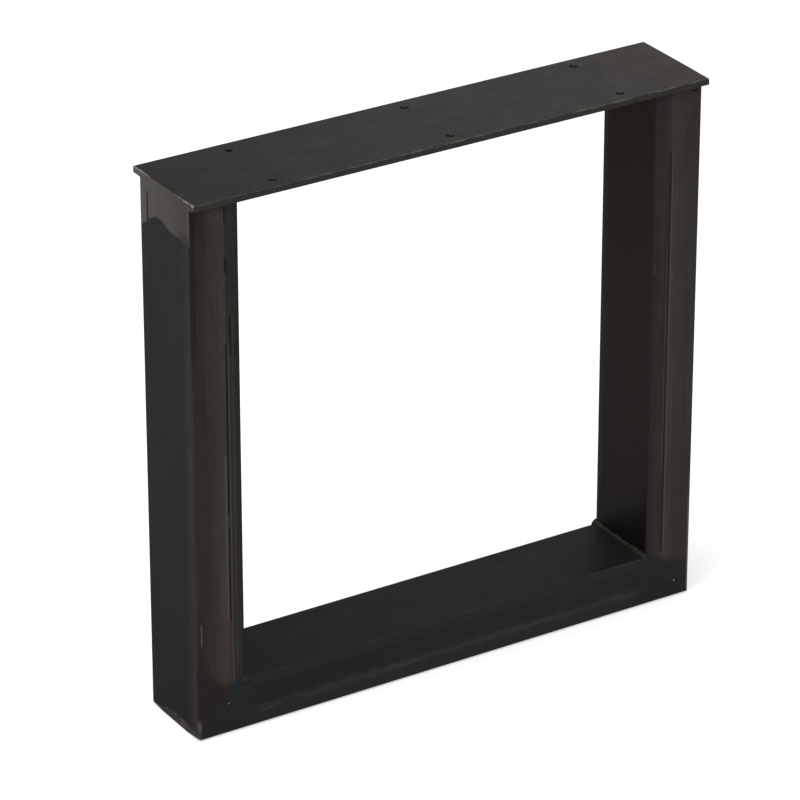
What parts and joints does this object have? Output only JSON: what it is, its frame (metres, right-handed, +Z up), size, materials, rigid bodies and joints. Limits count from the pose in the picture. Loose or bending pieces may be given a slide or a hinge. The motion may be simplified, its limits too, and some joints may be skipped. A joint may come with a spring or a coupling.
{
  "type": "bench frame",
  "caption": "U-shaped bench leg of mitred rectangular steel tube, welded, with a drilled flat plate across its top that screws to the underside of a seat.",
  "frame": {"origin": "on the floor, under the middle of the bottom rail", "axes": "+X along the plate and the rail, -Y to the front, +Z up"},
  "size_m": [0.43, 0.084, 0.425],
  "materials": {
    "plate_steel": "hot-rolled steel plate, mill scale, clear oiled",
    "tube_steel": "raw welded tube, brown-black mill scale, clear oiled",
    "ground_weld": "weld ground flush, darkened",
    "weld_bead": "rippled bead as welded, oxidised"
  },
  "bodies": {
    "root": {"mounting_plate": "plate_steel", "left_upright": "tube_steel", "right_upright": "tube_steel", "bottom_rail": "tube_steel", "left_mitre_weld": "ground_weld", "right_mitre_weld": "ground_weld", "left_inner_corner_weld": "weld_bead", "right_inner_corner_weld": "weld_bead", "left_plate_end_weld": "ground_weld", "right_plate_end_weld": "ground_weld"}
  },
  "joints": []
}
